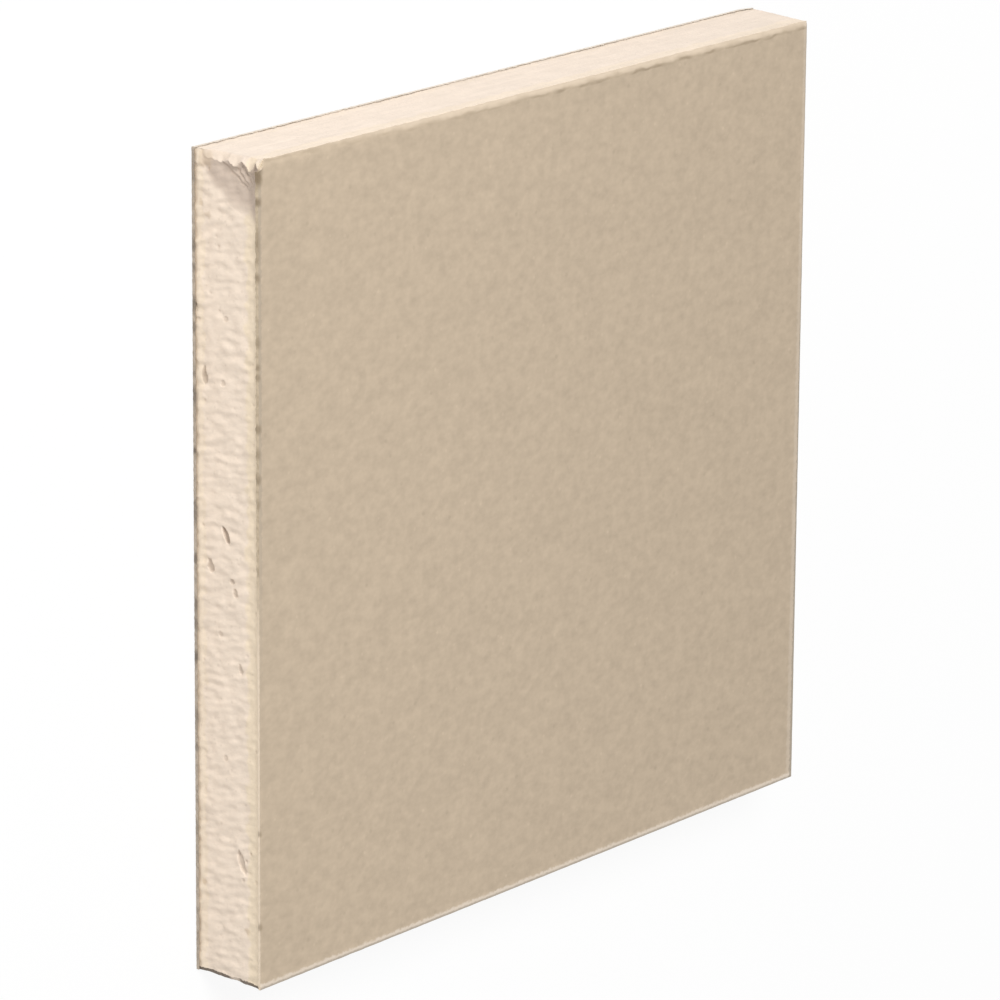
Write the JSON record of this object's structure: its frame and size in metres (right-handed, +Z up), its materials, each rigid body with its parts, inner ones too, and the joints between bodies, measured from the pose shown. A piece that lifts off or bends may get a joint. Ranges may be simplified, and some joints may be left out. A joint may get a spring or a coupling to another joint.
{
  "type": "drywall sheet",
  "caption": "Square-cut piece of drywall: a flat gypsum core between two bonded paper liners, lying face up, with sawn edges, for lining walls and ceilings.",
  "frame": {"origin": "centre of the underside, on the back liner", "axes": "+Z up, out of the face liner; +X away from the sawn end that shows the air voids; +Y towards the edge that is uppermost in the picture"},
  "size_m": [0.12, 0.12, 0.0125],
  "materials": {
    "face_paper": "matte tan lining paper, finely mottled with fibre, lighter along the cut edges",
    "gypsum": "matte cream aerated gypsum, sawn, with fine ripples and air voids",
    "back_paper": "matte grey-brown lining paper"
  },
  "bodies": {
    "root": {"back_liner": "back_paper", "gypsum_core": "gypsum", "face_liner": "face_paper"}
  },
  "joints": []
}
